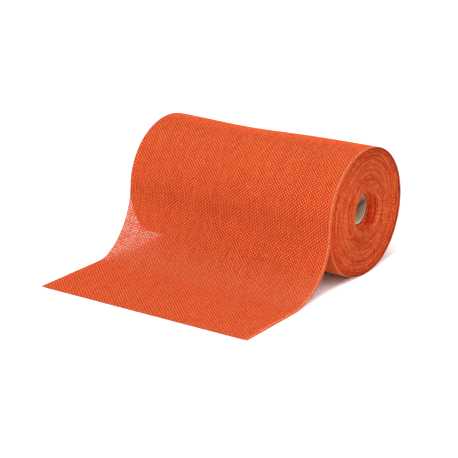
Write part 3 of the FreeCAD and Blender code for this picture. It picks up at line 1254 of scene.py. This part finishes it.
@dataclass
class WoundTurns:
    """The turns beneath the outermost: their outside, their end faces and their mouths."""

    sizes: RollSizes
    face: RollFace
    weave: Weave
    path: WebPath

    UNDER_SET_IN = 0.7 * MM
    UNDER_GAP = 0.12 * MM
    FACE_GAP = 0.35 * MM
    OVERLAP = 3 * MM
    FLANGE_SET_IN = 1.6 * MM
    FLANGE_DEPTH = 2 * MM
    OUTSIDE_PROUD = 0.3 * MM

    @property
    def base(self) -> float:
        """How far out from the roll's middle the end faces lie."""
        return self.sizes.half_width - self.face.recess

    def build(self, finishes: Finishes) -> None:
        """Make every piece of the wound turns."""
        self._under_turn(finishes)
        self._outside(finishes)
        for side in Side:
            self._outer_face(side, finishes)
            self._inner_face(side, finishes)

    def _under_turn(self, finishes: Finishes) -> None:
        """The turn just beneath the outermost, which shows through its gaps."""
        edge = self.sizes.half_width - self.UNDER_SET_IN
        across = np.linspace(-edge, edge, 91)
        along = np.linspace(0, self.path.departure, 331)
        wide, far = np.meshgrid(across, along, indexing="ij")
        depth = self.weave.half_depth + self.UNDER_GAP
        points, _, _ = self.path.surface(wide, far, np.full(wide.shape, -depth))
        obj = strip_surface("under_turn", points, Side.LEFT)
        set_vectors(obj, "web", np.stack([wide, far, 0 * far], -1))
        dress(obj, finishes.wound)
        tie(obj, "wrap", "wound_jute", "outer_wrap")

    def _outside(self, finishes: Finishes) -> None:
        """The outside of the turns that go round with the core."""
        end = self.base - self.FLANGE_SET_IN
        across = np.r_[-end, np.linspace(-end, end, 31), end]
        angle = np.linspace(0, TAU, 181)[:-1]
        shape = (len(across), len(angle))
        radius = np.full((len(across), 1), self.face.split + self.OUTSIDE_PROUD)
        radius[[0, -1]] -= self.FLANGE_DEPTH
        grid = np.stack([
            np.broadcast_to(across[:, None], shape),
            np.broadcast_to(radius * np.cos(angle), shape),
            np.broadcast_to(radius * np.sin(angle), shape),
        ], -1)
        obj = ring_surface("wound_outside", grid)
        set_vectors(obj, "web", np.stack([
            grid[..., 0], np.broadcast_to(angle * radius, shape), np.zeros(shape)], -1))
        tie(dress(obj, finishes.wound), "roll", "wound_jute", "outer_turns")

    def _outer_face(self, side: Side, finishes: Finishes) -> None:
        """The edges of the outer turns, which are slumped with the outermost."""
        face = self.face
        inset = self.weave.half_depth + self.FACE_GAP
        depth = self.path.up - inset - face.split
        turns = round((depth + self.OVERLAP) / face.pitch)
        reach = turns * face.pitch

        def lay(radius: np.ndarray, angle: np.ndarray) -> np.ndarray:
            """Pass from a true circle to the slumped outline."""
            share = ((np.maximum(radius, face.split - face.still_gap) - face.split) / reach)[:, None]
            circle = face.split * np.stack([np.cos(angle), np.sin(angle)], -1)
            return circle * (1 - share) + self.path.oval(angle, inset) * share

        spiral = EdgeSpiral(side, face, face.split - face.pitch, turns + 1)
        obj = spiral.make(f"outer_turn_edges_{side.word}", self.base, lay, np.zeros_like)
        tie(dress(obj, finishes.turn_edge), "wrap", "wound_jute", "outer_wrap")

    def _inner_face(self, side: Side, finishes: Finishes) -> None:
        """The edges of the turns that go round with the core, sinking into the mouth."""
        face, core = self.face, self.sizes.core_radius
        first = core + face.core_gap
        recess = self.base - self.sizes.core_half
        lean = face.mouth_leans[side is Side.RIGHT]

        def lay(radius: np.ndarray, angle: np.ndarray) -> np.ndarray:
            """Set the mouth a little to one side."""
            inside = np.clip((radius - core) / (face.rim - core), 0, 1)
            outside = np.clip((face.shift_ends - radius) / (face.shift_ends - face.rim), 0, 1)
            weight = ease(inside) * ease(outside)
            wobble = np.cos(angle + lean) + face.mouth_unevenness * np.cos(2 * angle + 0.5)
            out = np.minimum(radius, face.split - face.turning_gap) + face.shift * weight * wobble
            return np.stack([out * np.cos(angle), out * np.sin(angle)], -1)

        def sink(radius: np.ndarray) -> np.ndarray:
            """How deep the turns lie: only those of the mouth do."""
            share = np.clip((face.rim - radius) / (face.rim - first), 0, 1)
            return recess * share ** face.mouth_power

        spiral = EdgeSpiral(side, face, first, int((face.split - first) / face.pitch))
        # A painted highlight along the mouth's rim, carried in the pale share.
        near_rim = np.exp(-((spiral.build - face.rim - 0.4 * MM) / (0.5 * MM)) ** 2)
        spiral.pale = np.maximum(spiral.pale, face.rim_shine * near_rim)
        obj = spiral.make(f"turn_edges_{side.word}", self.base, lay, sink)
        tie(dress(obj, finishes.turn_edge), "roll", "wound_jute", "first_turn", "inner_turns",
            "middle_turns")


def ease(value: np.ndarray) -> np.ndarray:
    """Ease a value from 0 to 1."""
    return value * value * (3 - 2 * value)


def ring_surface(name: str, grid: np.ndarray) -> bpy.types.Object:
    """Make a surface of revolution's mesh, looking outward, from rows of rings toward +X.

    Args:
        name: the piece's name.
        grid: rows by angles by 3, each row closing on itself.

    Returns:
        The new object.
    """
    rows, angles = grid.shape[:2]
    index = np.arange(rows * angles).reshape(rows, angles)
    ahead = np.roll(index, -1, axis=1)
    quads = np.stack([index[:-1], index[1:], ahead[1:], ahead[:-1]], -1).reshape(-1, 4)
    return quad_object(name, grid.reshape(-1, 3), quads[:, ::-1])


def strip_surface(name: str, points: np.ndarray, side: Side) -> bpy.types.Object:
    """Make the mesh of an open grid of points, such as a spiral strip.

    Args:
        name: the piece's name.
        points: steps by profile points by 3.
        side: which way it faces, as an end of the roll does.

    Returns:
        The new object.
    """
    steps, across = points.shape[:2]
    index = np.arange(steps * across).reshape(steps, across)
    quads = np.stack([
        index[:-1, :-1], index[:-1, 1:], index[1:, 1:], index[1:, :-1],
    ], -1).reshape(-1, 4)
    return quad_object(name, points.reshape(-1, 3), quads if side is Side.RIGHT else quads[:, ::-1])


@dataclass(frozen=True)
class LooseFibres:
    """Short hairs of jute that stand off the turns' edges at each end."""

    count: int = 90
    rings: int = 9
    thickness: float = 0.16 * MM
    shortest: float = 3 * MM
    longest: float = 10 * MM
    proud: float = 0.9 * MM
    margin: float = 5.84 * MM
    rim_spread: float = 1.2 * MM
    bow: float = 1.1 * MM
    stray: float = 1.5 * MM
    rooted: float = 0.35 * MM
    rub_and_highlight: float = 0.6

    def build(self, sizes: RollSizes, face: RollFace, finishes: Finishes) -> None:
        """Scatter them over both ends' round parts.

        Args:
            sizes: the roll's sizes.
            face: how the faces are wound.
            finishes: the roll's materials.
        """
        for side in Side:
            rng = np.random.default_rng(SEED + 31 + side.value)
            radius = rng.uniform(face.rim, face.split - self.margin, (self.count, 1))
            few = self.count // 4
            radius[:few] = rng.normal(face.rim + MM, self.rim_spread, (few, 1))
            start = rng.uniform(0, TAU, (self.count, 1))
            length = rng.uniform(self.shortest, self.longest, (self.count, 1))
            share = np.linspace(0, 1, self.rings)[None, :]
            wave = rng.normal(0, self.bow, (self.count, 1)) * np.sin(share * math.pi)
            out = radius + wave + rng.normal(0, self.stray, (self.count, 1)) * share
            angle = start + length / radius * share
            stand = self.proud * rng.uniform(0.5, 1.0, (self.count, 1))
            base = sizes.half_width - face.recess - self.rooted
            far = side.value * (base + stand * np.sin(share * math.pi))
            centre = np.stack([far, out * np.cos(angle), out * np.sin(angle)], -1)
            across = np.stack([0 * angle, np.cos(angle), np.sin(angle)], -1)
            outward = np.zeros(centre.shape)
            outward[..., 0] = -side.value
            half = np.full(angle.shape, self.thickness / 2)
            mesh = ThreadMesh(f"loose_fibres_{side.word}")
            # The fibres' tops and undersides are painted lighter than their sides: rub wear and
            # painted highlight, with painted shade on the sides.
            mesh.add(Tubes.along(
                centre, across * side.value, -outward, half, half, length * share,
                np.full(angle.shape, self.rub_and_highlight), np.full(angle.shape, self.rub_and_highlight),
                rng.uniform(0, 1, self.count)))
            obj = dress(mesh.build(), finishes.faded_fibre)
            tie(obj, "roll", "wound_jute", "middle_turns")


# ---------------------------------------------------------------- the core

@dataclass
class Core:
    """The cardboard core, ply by ply."""

    sizes: RollSizes

    PLIES = ("core_inner_ply", "core_middle_ply", "core_outer_ply")
    SET_BACK = (0.0, 0.35 * MM, 0.1 * MM)
    WALL_SHARE = 0.98
    ROUND_SIDES = 96
    SOFTENING = 0.18 * MM

    def build(self, finishes: Finishes) -> None:
        """Make each ply as a tube with softened ends."""
        wall = (self.sizes.core_radius - self.sizes.bore) / len(self.PLIES)
        for number, node in enumerate(self.PLIES):
            outside = self.sizes.bore + (number + 1) * wall
            half = self.sizes.core_half - self.SET_BACK[number]
            obj = self._tube(f"{node}_board", outside, wall, half)
            tie(dress(obj, finishes.board), "roll", "core_board", node)

    def _tube(self, name: str, outside: float, wall: float, half: float) -> bpy.types.Object:
        """Turn an open cylinder into a walled tube along X.

        Args:
            name: the piece's name.
            outside: the outer radius.
            wall: the wall's thickness.
            half: half of the tube's length.

        Returns:
            The new object.
        """
        bpy.ops.object.select_all(action="DESELECT")
        bpy.ops.mesh.primitive_cylinder_add(
            vertices=self.ROUND_SIDES, radius=outside, depth=2 * half, end_fill_type="NOTHING",
            rotation=(0, math.pi / 2, 0))
        obj = bpy.context.object
        obj.name = obj.data.name = name
        bpy.ops.object.transform_apply(location=True, rotation=True, scale=True)
        shell = obj.modifiers.new("wall", "SOLIDIFY")
        shell.thickness = wall * self.WALL_SHARE
        shell.offset = -1
        soft = obj.modifiers.new("soft_ends", "BEVEL")
        soft.width = self.SOFTENING
        soft.segments = 2
        soft.limit_method = "ANGLE"
        soft.angle_limit = math.radians(50)
        for modifier in ("wall", "soft_ends"):
            bpy.ops.object.modifier_apply(modifier=modifier)
        bpy.ops.object.shade_smooth_by_angle(angle=math.radians(40))
        return obj


# ---------------------------------------------------------------- the studio

@dataclass(frozen=True)
class Studio:
    """The floor, the lights and the camera."""

    azimuth: float = 34.588
    elevation: float = 18.484
    distance: float = 1.935
    lens: float = 122.86375546
    target: tuple[float, float, float] = (-0.00188, -0.07643, -0.03123)
    white: Colour = (0.90, 0.90, 0.90, 1)
    glow: float = 0.4
    glow_from: float = 140 * MM
    glow_edge: float = 8 * MM
    air: float = 0.95

    def build(self, floor: float) -> None:
        """Set the stage.

        Args:
            floor: the height that the roll lies on.
        """
        self._floor(floor)
        self._lights()
        self._camera()
        bpy.context.scene.view_settings.view_transform = "Standard"

    def _floor(self, height: float) -> None:
        """A plain pale floor, glowing a little beside the roll so that shadows stay faint."""
        bpy.ops.object.select_all(action="DESELECT")
        bpy.ops.mesh.primitive_plane_add(size=12, location=(0, 0, height - 0.05 * MM))
        ground = bpy.context.object
        ground.name = "studio_floor"
        nodes = Nodes("studio_white")
        nodes.shader.inputs["Base Color"].default_value = self.white
        x, _, _ = nodes.parts(nodes.place())
        beside = nodes.tree.nodes.new("ShaderNodeMapRange")
        beside.inputs["From Min"].default_value = self.glow_from
        beside.inputs["From Max"].default_value = self.glow_from + self.glow_edge
        beside.inputs["To Max"].default_value = self.glow
        nodes.link(nodes.maths("ABSOLUTE", x), beside.inputs["Value"])
        nodes.shader.inputs["Emission Color"].default_value = self.white
        nodes.link(beside.outputs[0], nodes.shader.inputs["Emission Strength"])
        nodes.matt(0.9)
        dress(ground, nodes.material)

    def _lights(self) -> None:
        """Soft light from all round, a broad lamp above and a weaker one in front."""
        world = bpy.data.worlds.new("studio_air")
        bpy.context.scene.world = world
        world.use_nodes = True
        backdrop = world.node_tree.nodes["Background"]
        backdrop.inputs["Color"].default_value = (1, 1, 1, 1)
        backdrop.inputs["Strength"].default_value = self.air
        self._lamp("overhead", (0.35, -0.55, 1.9), 1.7, 29.5)
        self._lamp("front_fill", (0.9, -1.8, 0.8), 1.2, 5.0)

    @staticmethod
    def _lamp(name: str, place: tuple[float, float, float], size: float, power: float) -> None:
        """Add a square lamp that looks at the roll."""
        data = bpy.data.lights.new(name, "AREA")
        data.size, data.energy = size, power
        lamp = bpy.data.objects.new(name, data)
        lamp.location = place
        lamp.rotation_euler = (-Vector(place)).to_track_quat("-Z", "Y").to_euler()
        bpy.context.scene.collection.objects.link(lamp)

    def _camera(self) -> None:
        """Look at the roll from its front right."""
        turn, rise = math.radians(self.azimuth), math.radians(self.elevation)
        back = Vector((
            math.sin(turn) * math.cos(rise), -math.cos(turn) * math.cos(rise), math.sin(rise)))
        data = bpy.data.cameras.new("studio_camera")
        data.sensor_width = SENSOR_MM
        data.lens = self.lens
        data.clip_end = 100
        camera = bpy.data.objects.new("studio_camera", data)
        camera.location = Vector(self.target) + back * self.distance
        camera.rotation_euler = (-back).to_track_quat("-Z", "Y").to_euler()
        bpy.context.scene.collection.objects.link(camera)
        bpy.context.scene.camera = camera


def main() -> None:
    """Build the roll round the fixed frame."""
    logging.basicConfig(level=logging.INFO, format="%(name)s: %(message)s")
    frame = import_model()
    sizes = RollSizes.from_frame(frame)
    Studio().build(sizes.floor)
    finishes = Finishes.make()
    weave = Weave()
    path = WebPath(sizes, weave, Slump())
    WovenWeb(sizes, weave, path).build(finishes)
    face = RollFace()
    WoundTurns(sizes, face, weave, path).build(finishes)
    LooseFibres().build(sizes, face, finishes)
    Core(sizes).build(finishes)


if __name__ == "__main__":
    main()
